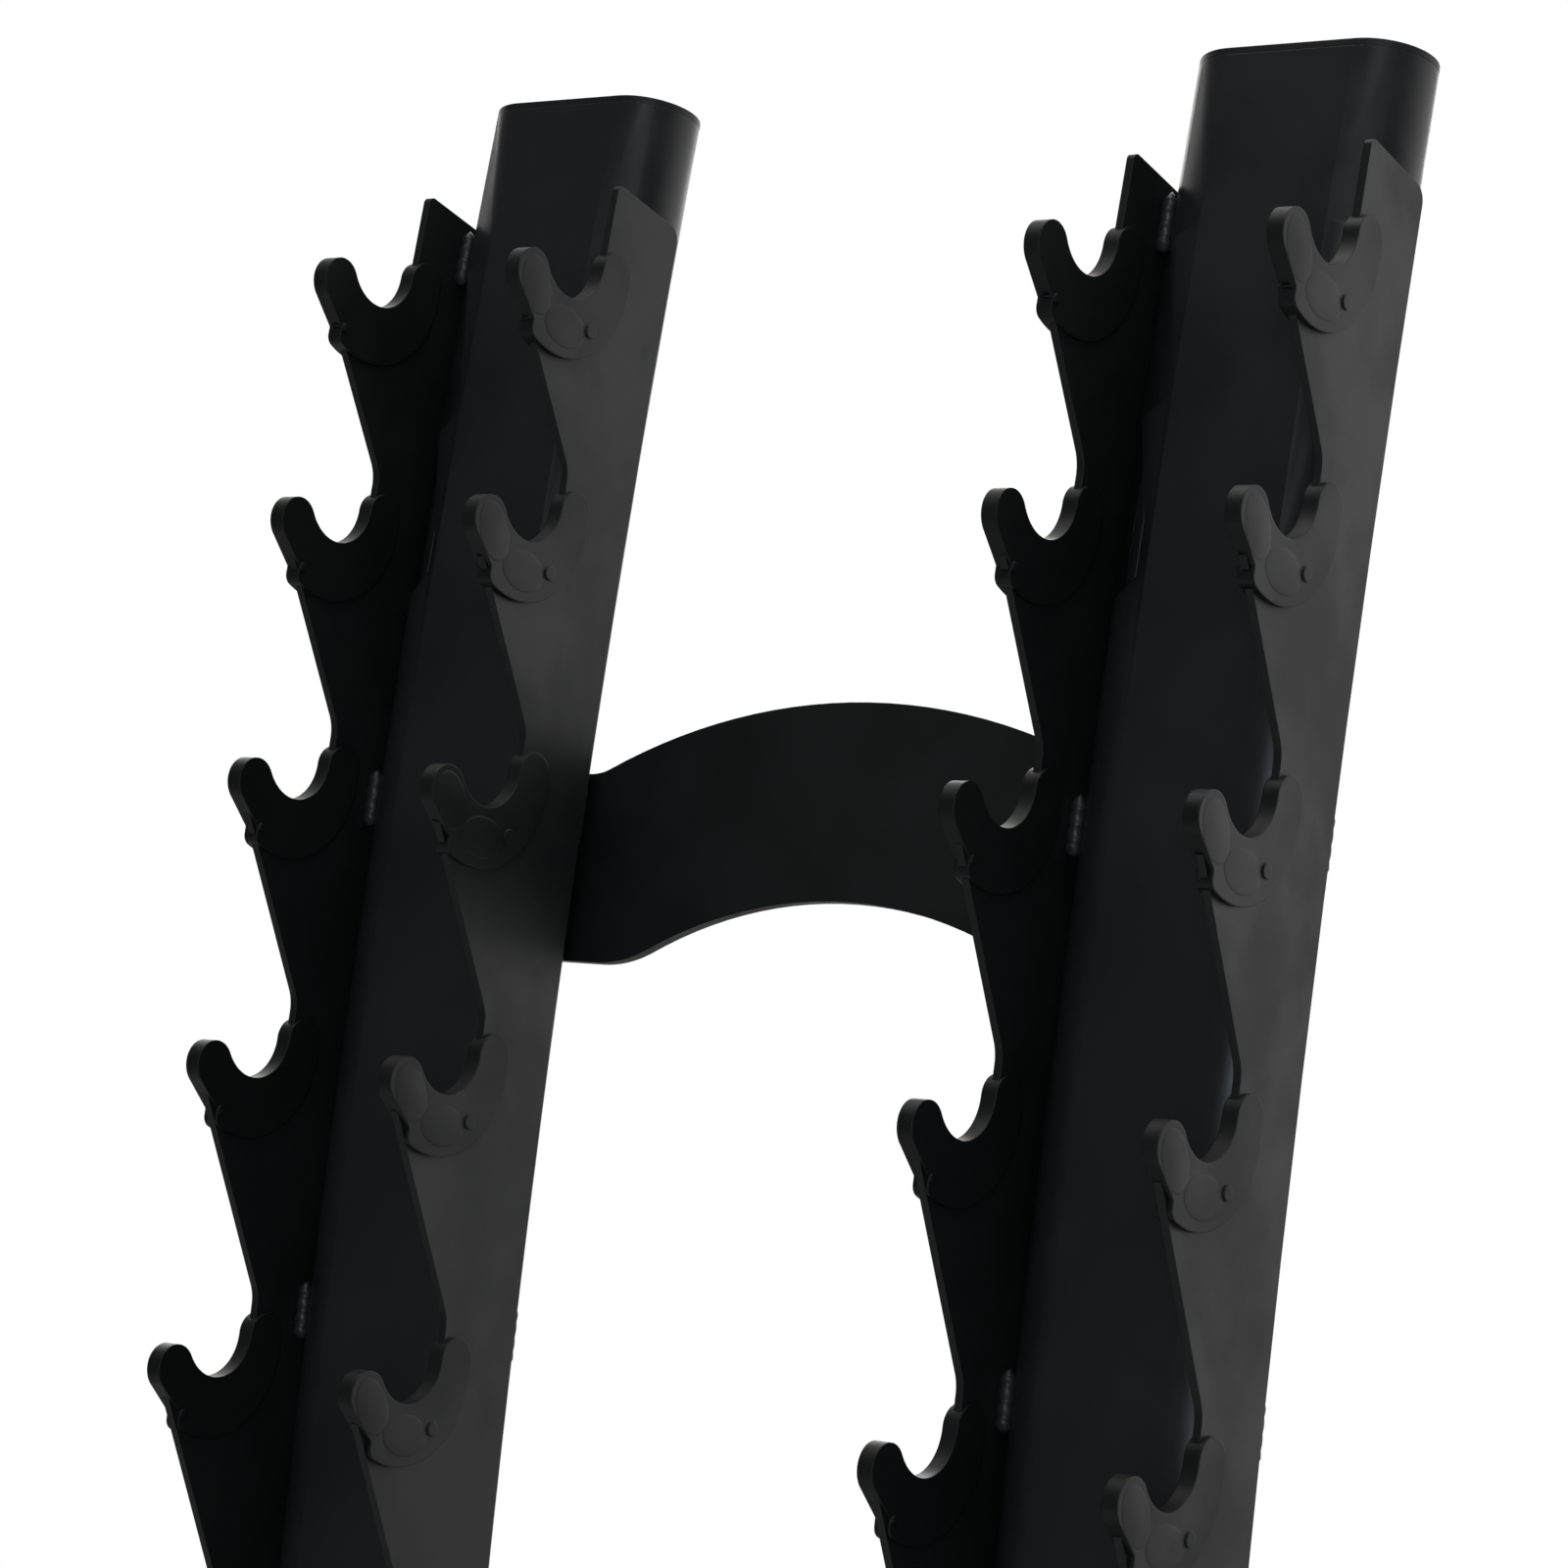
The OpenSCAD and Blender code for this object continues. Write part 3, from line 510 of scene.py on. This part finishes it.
@dataclass
class Bead:
    """One weld bead: a ridge of overlapping ripples that fades out at its ends.

    The lag is how far the flanks of a ripple trail behind its middle, and the fade how long an
    end is, both in radii of the bead. The blunt end keeps the first and last rings open.
    """

    radius: float = 2.6 * MM
    ripple: float = 5.5 * MM
    ripple_height: float = 0.6 * MM
    lag: float = 0.45
    fade: float = 1.3
    blunt_end: float = 0.02 * MM
    rings_per_ripple: int = 10
    fewest_rings: int = 8
    sides: int = 14
    closed: bool = False

    def run(self, mesh: bmesh.types.BMesh, path: list[Vector], outward: list[Vector]) -> None:
        """Lay the bead along a path.

        Args:
            mesh: the mesh that takes the bead.
            path: points along the middle of the bead, evenly spaced.
            outward: at each point, the direction in which the bead faces.
        """
        count = len(path)
        spacing = (path[1] - path[0]).length
        rings = []
        for index, (point, out) in enumerate(zip(path, outward)):
            before = path[index - 1] if index or self.closed else path[0]
            after = path[(index + 1) % count] if index < count - 1 or self.closed else path[-1]
            along = (after - before).normalized()
            done = index * spacing
            swell = self.ripple_height * abs(math.sin(math.pi * done / self.ripple))
            size = 1.0
            if not self.closed:
                from_end = min(index, count - 1 - index) * spacing + self.blunt_end
                size = math.sqrt(min(1.0, from_end / (self.fade * self.radius)))
            rings.append(self.ring(mesh, point, out, along, self.radius + swell, size))
        for index in range(count if self.closed else count - 1):
            first, second = rings[index], rings[(index + 1) % count]
            for step in range(self.sides):
                mesh.faces.new((first[step], first[(step + 1) % self.sides],
                                second[(step + 1) % self.sides], second[step]))
        if not self.closed:
            mesh.faces.new(list(reversed(rings[0])))
            mesh.faces.new(rings[-1])

    def ring(self, mesh: bmesh.types.BMesh, point: Vector, out: Vector, along: Vector,
             reach: float, size: float) -> list[bmesh.types.BMVert]:
        """Add one ring of the bead's corners.

        Args:
            mesh: the mesh that takes them.
            point: the middle of the ring.
            out: the direction in which the bead faces.
            along: the direction in which it runs.
            reach: the ring's radius at full size.
            size: the share of its full size that the ring has.

        Returns:
            The corners, in order round the bead.
        """
        across = along.cross(out).normalized()
        reach = reach * size
        corners = []
        for step in range(self.sides):
            turn = 2 * math.pi * step / self.sides
            sideways = math.sin(turn)
            spot = point + out * reach * math.cos(turn) + across * reach * sideways
            trail = along * self.lag * self.radius * sideways * sideways * size
            corners.append(mesh.verts.new(spot - trail))
        return corners

    def straight(self, mesh: bmesh.types.BMesh, start: Vector, end: Vector, out: Vector) -> None:
        """Lay the bead along a straight line.

        Args:
            mesh: the mesh that takes the bead.
            start: where it starts.
            end: where it ends.
            out: the direction in which it faces.
        """
        ripples = (end - start).length / self.ripple
        steps = max(self.fewest_rings, round(ripples * self.rings_per_ripple))
        path = [start.lerp(end, index / steps) for index in range(steps + 1)]
        self.run(mesh, path, [out] * len(path))


def piece_from(mesh: bmesh.types.BMesh, name: str) -> bpy.types.Object:
    """Turn a mesh being built into a smooth-shaded piece that rides with the rack.

    Args:
        mesh: the mesh; it is freed.
        name: the piece's name.

    Returns:
        The new object.
    """
    bmesh.ops.recalc_face_normals(mesh, faces=mesh.faces)
    data = bpy.data.meshes.new(name)
    mesh.to_mesh(data)
    mesh.free()
    for face in data.polygons:
        face.use_smooth = True
    made = bpy.data.objects.new(name, data)
    bpy.context.scene.collection.objects.link(made)
    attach(made, ROOT)
    return made


@dataclass
class PostFrame:
    """The bent frame of an upright, from the sizes that its solids were drawn with."""

    side: Side
    pitch: float = 320 * MM
    foot_lean: float = math.radians(1.0)
    bend_radius: float = 4.2
    forward: float = 70 * MM
    base_top: float = 68 * MM
    length: float = 1223.8 * MM

    @property
    def name(self) -> str:
        """Return the word for the upright that names of pieces hold."""
        return self.side.name.lower()

    @property
    def foot(self) -> Vector:
        """Return the middle of the upright's foot, on its bracket."""
        return Vector((self.side.value * self.pitch / 2, -self.forward, self.base_top))

    def station(self, height: float) -> Matrix:
        """Find the frame at a distance along the upright.

        Args:
            height: the distance from the foot, along the centre line.

        Returns:
            The frame's place there: z up the post, y to the rear, x across it.
        """
        centre = Vector((0, self.bend_radius, 0))
        bend = Matrix.Rotation(-height / self.bend_radius, 4, "X")
        lean = Matrix.Rotation(-self.foot_lean, 4, "X")
        foot = Matrix.Translation(self.foot)
        return foot @ lean @ Matrix.Translation(centre) @ bend @ Matrix.Translation(-centre)


@dataclass
class PostWelds:
    """The beads that hold one upright's plates to its tube, and the tube to its bracket.

    The stitches are placed by their distance from the top of the post. Each lies in the groove in
    front, sunk there by a share of its radius, and all but the topmost have a smaller one at the
    plate's rear edge, a share of the plate's thickness out from the tube and a little behind it.
    """

    post: PostFrame
    tube_width: float = 90 * MM
    tube_depth: float = 40 * MM
    plate_thickness: float = 3 * MM
    plate_rear: float = 3 * MM
    stitch: float = 22 * MM
    stitches_down: tuple[float, ...] = (60 * MM, 275 * MM, 472 * MM, 680 * MM, 885 * MM, 1090 * MM)
    front_bead: Bead = field(default_factory=Bead)
    front_sunk: float = 0.75
    front_turn: float = 0.35
    rear_bead: Bead = field(default_factory=lambda: Bead(radius=2.0 * MM, ripple_height=0.25 * MM))
    rear_share: float = 0.25
    rear_gap: float = 0.2 * MM
    rear_turn: float = 0.3
    foot_radius: float = 3.0 * MM
    foot_ripple: float = 6.6 * MM
    foot_ripple_height: float = 0.35 * MM
    foot_rings_per_ripple: int = 5
    foot_lift: float = 0.4 * MM
    foot_turn: float = 0.8

    def groove(self) -> tuple[float, float]:
        """Find the middle of the bead in the groove between a plate and the tube's round side.

        Returns:
            Its distance from the post's centre line across the rack, and its distance in front.
        """
        end_radius = self.tube_depth / 2
        centre = self.tube_width / 2 - end_radius
        sunk = self.front_sunk * self.front_bead.radius
        across = self.tube_width / 2 - sunk
        ahead = math.sqrt((end_radius + sunk) ** 2 - (across - centre) ** 2)
        return across, ahead

    def lay_stitch(self, mesh: bmesh.types.BMesh, bead: Bead, down: float, seat: Vector,
                   out: Vector) -> None:
        """Lay one stitch up the post.

        Args:
            mesh: the mesh that takes the stitch.
            bead: the bead that it is laid with.
            down: the distance of its middle from the top of the post.
            seat: its middle in the post's frame there.
            out: the direction in which it faces, in that frame.
        """
        station = self.post.station(self.post.length - down)
        half = Vector((0, 0, self.stitch / 2))
        facing = (station.to_3x3() @ out).normalized()
        bead.straight(mesh, station @ (seat - half), station @ (seat + half), facing)

    def stitch_beads(self, place: Place) -> bpy.types.Object:
        """Build one plate's stitches, in the groove at its front and along its rear edge.

        Args:
            place: which of the two plates.

        Returns:
            The piece.
        """
        way = self.post.side.value * place.value
        across, ahead = self.groove()
        front = Vector((way * across, -ahead, 0))
        aside = self.tube_width / 2 + self.rear_share * self.plate_thickness
        rear = Vector((way * aside, self.plate_rear + self.rear_gap, 0))
        mesh = bmesh.new()
        for down in self.stitches_down:
            out = Vector((-self.front_turn * way, -1, 0))
            self.lay_stitch(mesh, self.front_bead, down, front, out)
        for down in self.stitches_down[1:]:
            out = Vector((self.rear_turn * way, 1, 0))
            self.lay_stitch(mesh, self.rear_bead, down, rear, out)
        return piece_from(mesh, f"stitch_welds_{self.post.name}_{place.name.lower()}")

    def foot_bead(self) -> bpy.types.Object:
        """Build the bead that runs round the foot of the tube, on the bracket.

        Returns:
            The piece.
        """
        end_radius = self.tube_depth / 2
        flat = self.tube_width / 2 - end_radius
        stretch = 1 / math.cos(self.post.foot_lean)
        around = 4 * flat + 2 * math.pi * end_radius
        count = self.foot_rings_per_ripple * round(around / self.foot_ripple)
        bead = Bead(radius=self.foot_radius, ripple=self.foot_rings_per_ripple * around / count,
                    ripple_height=self.foot_ripple_height, closed=True)
        path, outward = [], []
        for index in range(count):
            spot, normal = self.oval_point(index / count * around, flat, end_radius)
            path.append(self.post.foot + Vector((spot.x, spot.y * stretch, self.foot_lift)))
            outward.append(Vector((normal.x, normal.y, self.foot_turn)).normalized())
        mesh = bmesh.new()
        bead.run(mesh, path, outward)
        return piece_from(mesh, f"foot_weld_{self.post.name}")

    @staticmethod
    def oval_point(along: float, flat: float, radius: float) -> tuple[Vector, Vector]:
        """Find a point on the flat oval's outline.

        Args:
            along: distance along the outline, from the front of the round end at +X, round it to
                the rear, and on round the oval.
            flat: half the length of its flat sides.
            radius: radius of its round ends.

        Returns:
            The point and the outward normal there.
        """
        arc = math.pi * radius
        if along < arc:
            turn = -math.pi / 2 + along / radius
            normal = Vector((math.cos(turn), math.sin(turn), 0))
            return Vector((flat, 0, 0)) + normal * radius, normal
        along -= arc
        if along < 2 * flat:
            return Vector((flat - along, radius, 0)), Vector((0, 1, 0))
        along -= 2 * flat
        if along < arc:
            turn = math.pi / 2 + along / radius
            normal = Vector((math.cos(turn), math.sin(turn), 0))
            return Vector((-flat, 0, 0)) + normal * radius, normal
        along -= arc
        return Vector((-flat + along, -radius, 0)), Vector((0, -1, 0))

    def build(self, stores: Stores) -> list[bpy.types.Object]:
        """Build and dress every bead of the upright.

        Args:
            stores: where the materials come from.

        Returns:
            The pieces.
        """
        pieces = [self.stitch_beads(place) for place in Place] + [self.foot_bead()]
        for piece in pieces:
            stores.dress_added(piece, WELD_COAT)
        return pieces


@dataclass
class GussetWelds:
    """The beads along both sides of the gusset behind one upright.

    Each gap is what a bead stays short of an end of its edge by: the lower bead at the corner and
    at the gusset's tip, the upright one at the corner and at the gusset's top.
    """

    post: PostFrame
    thickness: float = 6 * MM
    height: float = 85 * MM
    reach: float = 78 * MM
    tube_rear: float = 20 * MM
    lower_gaps: tuple[float, float] = (4 * MM, 2 * MM)
    upright_gaps: tuple[float, float] = (5 * MM, 3 * MM)
    turn: float = 0.9
    bead: Bead = field(default_factory=lambda: Bead(radius=2.4 * MM))

    def build(self, stores: Stores) -> list[bpy.types.Object]:
        """Build and dress the beads.

        Args:
            stores: where the materials come from.

        Returns:
            The piece, in a list of its own.
        """
        rear = Vector((0, self.tube_rear, 0))
        corner, top = (self.post.station(height) @ rear for height in (0.0, self.height))
        tip = corner + Vector((0, self.reach - self.tube_rear, 0))
        lean = math.atan2(top.y - corner.y, top.z - corner.z)
        rise = (top - corner).normalized()
        backward = Vector((0, 1, 0))
        mesh = bmesh.new()
        for way in (-1, 1):
            off = Vector((way * self.thickness / 2, 0, 0))
            self.bead.straight(mesh, corner + off + backward * self.lower_gaps[0],
                               tip + off - backward * self.lower_gaps[1],
                               Vector((way, 0, self.turn)).normalized())
            back = Vector((way, 0, 0)) + Vector((0, math.cos(lean), -math.sin(lean))) * self.turn
            self.bead.straight(mesh, corner + off + rise * self.upright_gaps[0],
                               top + off - rise * self.upright_gaps[1], back.normalized())
        piece = piece_from(mesh, f"gusset_welds_{self.post.name}")
        stores.dress_added(piece, WELD_COAT)
        return [piece]


# ---- Crowned liners ----


@dataclass(frozen=True)
class Swell:
    """A low oval swelling on a flange's outer face, in the frame of its saddle.

    Its middle is given ahead of the saddle's and above it. The root stands in the flange, and the
    rim lies just under the face, so that the two meet in a clean line.
    """

    middle: tuple[float, float]
    half: tuple[float, float]
    tilt: float
    height: float
    power: int
    root: float = 0.3 * MM
    rim: float = 0.02 * MM
    spokes: int = 48
    rings: int = 9

    def ring(self, mesh: bmesh.types.BMesh, saddle: Matrix, across: float,
             share: float) -> list[bmesh.types.BMVert]:
        """Add one ring of the swelling's corners.

        Args:
            mesh: the mesh that takes them.
            saddle: the frame of the saddle, y to the rear and z up the post.
            across: the ring's place across the rack in that frame.
            share: the ring's size, 1 being the swelling's own outline.

        Returns:
            The corners, in order round the swelling.
        """
        cos, sin = math.cos(self.tilt), math.sin(self.tilt)
        corners = []
        for spoke in range(self.spokes):
            angle = 2 * math.pi * spoke / self.spokes
            along = share * self.half[0] * math.cos(angle)
            over = share * self.half[1] * math.sin(angle)
            ahead = self.middle[0] + along * cos - over * sin
            up = self.middle[1] + along * sin + over * cos
            corners.append(mesh.verts.new(saddle @ Vector((across, -ahead, up))))
        return corners

    def raise_on(self, mesh: bmesh.types.BMesh, saddle: Matrix, across: float, way: float) -> None:
        """Add the swelling to a mesh as a closed lens that stands in the flange.

        Args:
            mesh: the mesh that it joins.
            saddle: the frame of the saddle, y to the rear and z up the post.
            across: the flange's outer face in that frame.
            way: the way that the face looks, 1 or -1.
        """
        base = self.ring(mesh, saddle, across - way * self.root, 1.0)
        last = base
        for level in range(self.rings):
            share = math.cos(0.5 * math.pi * level / self.rings)
            lift = self.height * (1 - share ** self.power) - self.rim * share ** self.power
            here = self.ring(mesh, saddle, across + way * lift, share)
            for spoke in range(self.spokes):
                after = (spoke + 1) % self.spokes
                mesh.faces.new((last[spoke], last[after], here[after], here[spoke]))
            last = here
        mesh.faces.new(last)
        mesh.faces.new(list(reversed(base)))


@dataclass
class CrownedLiners:
    """The liners of one saw plate, with the crowned faces that moulding gives their outer flange.

    A saddle's middle lies at the reach in front of the post's centre line. The first is one drop
    below the top of the post, and each pitch below it is longer than the last by the growth.
    """

    post: PostFrame
    place: Place
    reach: float = 56 * MM
    first_drop: float = 77 * MM
    first_pitch: float = 92 * MM
    growth: float = 6.3 * MM
    tiers: int = 10
    pad_step: float = 0.4 * MM
    stud_head: float = 0.6 * MM
    level_slack: float = 0.05 * MM
    merge_slack: float = 0.002 * MM
    crease: float = math.radians(28)
    pad: Swell = Swell((-1.0 * MM, -28.3 * MM), (11.8 * MM, 7.4 * MM), 0.0, 0.30 * MM, 4)
    lobe: Swell = Swell((18.6 * MM, -18.6 * MM), (11.2 * MM, 7.6 * MM), math.radians(54),
                        0.55 * MM, 2)

    def flatten_pad(self, mesh: bmesh.types.BMesh, face: float, way: float) -> None:
        """Bring the stepped pad level with the flange.

        Args:
            mesh: the liner's mesh, changed in place.
            face: where the flange's outer face is, across the rack.
            way: the way that it faces, 1 or -1.
        """
        top = face + way * self.pad_step
        for corner in mesh.verts:
            if abs(corner.co.x - top) < self.level_slack:
                corner.co.x = face
        bmesh.ops.remove_doubles(mesh, verts=mesh.verts, dist=self.merge_slack)

    def crown(self, tier: int) -> bpy.types.Object:
        """Build one crowned liner in the place of the plain one.

        Args:
            tier: the saddle that it lines, counted from 0 at the top.

        Returns:
            The piece.
        """
        way = self.post.side.value * self.place.value
        words = f"{self.post.name}_{self.place.name.lower()}_{tier + 1}"
        node = f"liner_{words}"
        low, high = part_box(node)
        face = (high.x if way > 0 else low.x) - way * self.stud_head
        drop = self.first_drop + tier * self.first_pitch + self.growth * tier * (tier - 1) / 2
        saddle = self.post.station(self.post.length - drop)
        saddle = saddle @ Matrix.Translation((0, -self.reach, 0))
        mesh = bmesh.new()
        mesh.from_mesh(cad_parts[node].data)
        self.flatten_pad(mesh, face, way)
        across = face - self.post.side.value * self.post.pitch / 2
        for swell in (self.pad, self.lobe):
            swell.raise_on(mesh, saddle, across, way)
        piece = piece_from(mesh, f"crowned_liner_{words}")
        if "custom_normal" in piece.data.attributes:
            piece.data.attributes.remove(piece.data.attributes["custom_normal"])
        piece.data.set_sharp_from_angle(angle=self.crease)
        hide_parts(node)
        return piece

    def build(self, stores: Stores) -> list[bpy.types.Object]:
        """Build and dress the crowned liners of every tier.

        Args:
            stores: where the materials come from.

        Returns:
            The pieces.
        """
        pieces = [self.crown(tier) for tier in range(self.tiers)]
        for piece in pieces:
            stores.dress_added(piece, LINER_PLASTIC)
        return pieces


# ---- Floor, lights and camera ----


@dataclass(frozen=True)
class Lamp:
    """A soft lamp that hangs somewhere round the rack.

    Its azimuth is in degrees, 0 being straight in front of the rack and 90 to +X. Its height is
    above the floor, its distance is along the floor, its size is its width and height, and its
    power is in watts.
    """

    name: str
    azimuth: float
    height: float
    distance: float
    size: tuple[float, float]
    power: float
    colour: Colour = (1.0, 0.99, 0.97)

    def hang(self, aim: Vector) -> None:
        """Hang the lamp.

        Args:
            aim: the point that it faces.
        """
        data = bpy.data.lights.new(self.name, "AREA")
        data.shape = "RECTANGLE"
        data.size, data.size_y = self.size
        data.energy = self.power
        data.color = self.colour
        made = bpy.data.objects.new(self.name, data)
        turn = math.radians(self.azimuth)
        made.location = (self.distance * math.sin(turn), -self.distance * math.cos(turn),
                         self.height)
        made.rotation_mode = "QUATERNION"
        made.rotation_quaternion = (aim - made.location).to_track_quat("-Z", "Y")
        bpy.context.scene.collection.objects.link(made)


@dataclass
class Studio:
    """The floor, the world, the lamps and the camera.

    The camera sees the floor at its glow out to the first share of its radius in its fade, and
    plain white from the second. The bounce is the share of its colour that it throws back on the
    rack. The world has its front and its back level at the two ends of its turn, which are values
    of the direction's Y.
    """

    camera_place: Point = (0.9615, -1.277, 1.1041)
    camera_ahead: Point = (-0.59026, 0.80269, -0.08531)
    camera_roll: float = math.radians(-0.165)
    camera_reach: Band = (0.05, 60)
    shift_up: float = 0.1
    lens: float = 104.84
    sensor: float = 36.0
    floor_radius: float = 3.0
    floor_segments: int = 96
    floor_colour: Colour = (0.80, 0.80, 0.79)
    floor_roughness: float = 0.7
    floor_mottle: float = 0.98
    floor_mottle_scale: float = 3.0
    floor_fade: Band = (0.35, 0.95)
    floor_glow: float = 0.45
    bounce: float = 0.5
    back_level: float = 1.0
    front_level: float = 0.09
    level_turn: Band = (-0.1, 1.0)
    aim: Point = (0, 0, 0.85)
    lamps: tuple[Lamp, ...] = (
        Lamp("window", 30, 1.7, 3.2, (1.0, 2.0), 23, (0.78, 0.88, 1.0)),
        Lamp("overhead", 180, 3.4, 0.3, (2.6, 2.6), 32),
        Lamp("left_side", -128, 1.9, 2.8, (1.8, 1.8), 18),
        Lamp("rear", -160, 2.2, 3.0, (1.8, 1.8), 34),
    )

    def camera(self) -> None:
        """Make the camera and hand it to the scene."""
        data = bpy.data.cameras.new("camera")
        data.lens = self.lens
        data.sensor_width = self.sensor
        data.shift_y = self.shift_up
        data.clip_start, data.clip_end = self.camera_reach
        made = bpy.data.objects.new("camera", data)
        made.location = self.camera_place
        made.rotation_mode = "QUATERNION"
        aimed = Vector(self.camera_ahead).to_track_quat("-Z", "Y")
        made.rotation_quaternion = aimed @ Quaternion((0, 0, 1), self.camera_roll)
        bpy.context.scene.collection.objects.link(made)
        bpy.context.scene.camera = made

    def world(self) -> None:
        """Light the rack from all round, brighter from behind it, on a white background."""
        made = bpy.data.worlds.new("studio")
        made.use_nodes = True
        bpy.context.scene.world = made
        sheet = Sheet(made.node_tree)
        ray = sheet.node("LightPath")
        towards = sheet.node("SeparateXYZ", {"0": sheet.node("TexCoord").outputs["Generated"]})
        level = sheet.remap(towards.outputs["Y"], self.level_turn,
                            (self.front_level, self.back_level))
        level = sheet.math("MAXIMUM", level, ray.outputs["Is Camera Ray"])
        light = sheet.node("Background", {"Color": opaque(WHITE), "Strength": level})
        sheet.node("OutputWorld", {"Surface": light.outputs[0]})

    def floor_skin(self) -> bpy.types.Material:
        """Write the floor's material, which turns white towards the rim for the camera alone.

        Returns:
            The material.
        """
        skin = bpy.data.materials.new("pale_floor")
        skin.use_nodes = True
        sheet = Sheet(skin.node_tree)
        to_camera = sheet.node("LightPath").outputs["Is Camera Ray"]
        outwards = sheet.node("VectorMath", {"0": sheet.where()}, operation="LENGTH")
        band = tuple(share * self.floor_radius for share in self.floor_fade)
        fade = sheet.remap(outwards.outputs["Value"], band, (self.floor_glow, 1.0))
        mottle = sheet.noise(self.floor_mottle_scale, detail=4.0)
        paint = sheet.tint(mottle, opaque(self.floor_colour),
                           opaque(self.floor_colour, self.floor_mottle))
        paint = sheet.tint(to_camera, opaque(self.floor_colour, self.bounce), paint)
        plain = sheet.node("BsdfPrincipled", {"Base Color": paint,
                                              "Roughness": self.floor_roughness})
        white = sheet.node("Emission", {"Color": opaque(WHITE), "Strength": 1.0})
        mixed = sheet.node("MixShader", {"0": sheet.math("MULTIPLY", fade, to_camera),
                                         "1": plain.outputs[0], "2": white.outputs[0]})
        sheet.node("OutputMaterial", {"Surface": mixed.outputs[0]})
        return skin

    def floor(self) -> None:
        """Lay the pale floor, which fades into the white background at its rim."""
        mesh = bmesh.new()
        bmesh.ops.create_circle(mesh, cap_ends=True, segments=self.floor_segments,
                                radius=self.floor_radius)
        data = bpy.data.meshes.new("floor")
        mesh.to_mesh(data)
        mesh.free()
        data.materials.append(self.floor_skin())
        made = bpy.data.objects.new("floor", data)
        made.location = (0, 0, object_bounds()[0].z)
        bpy.context.scene.collection.objects.link(made)
        made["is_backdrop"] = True

    def build(self) -> None:
        """Set the whole stage."""
        bpy.context.scene.view_settings.view_transform = "Standard"
        self.camera()
        self.world()
        self.floor()
        for lamp in self.lamps:
            lamp.hang(Vector(self.aim))


def main() -> None:
    """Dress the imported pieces, add the liners' crowned faces and the welds, and set the stage."""
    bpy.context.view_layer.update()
    stores = Stores()
    pieces = PackedPieces().build(stores)
    for side in Side:
        post = PostFrame(side)
        for place in Place:
            pieces += CrownedLiners(post, place).build(stores)
        pieces += PostWelds(post).build(stores) + GussetWelds(post).build(stores)
    for piece in pieces:
        coat, faces = piece.data.materials[0].name, len(piece.data.polygons)
        log.info("%s: %d faces in %s", piece.name, faces, coat)
    Studio().build()


if __name__ == "__main__":
    main()
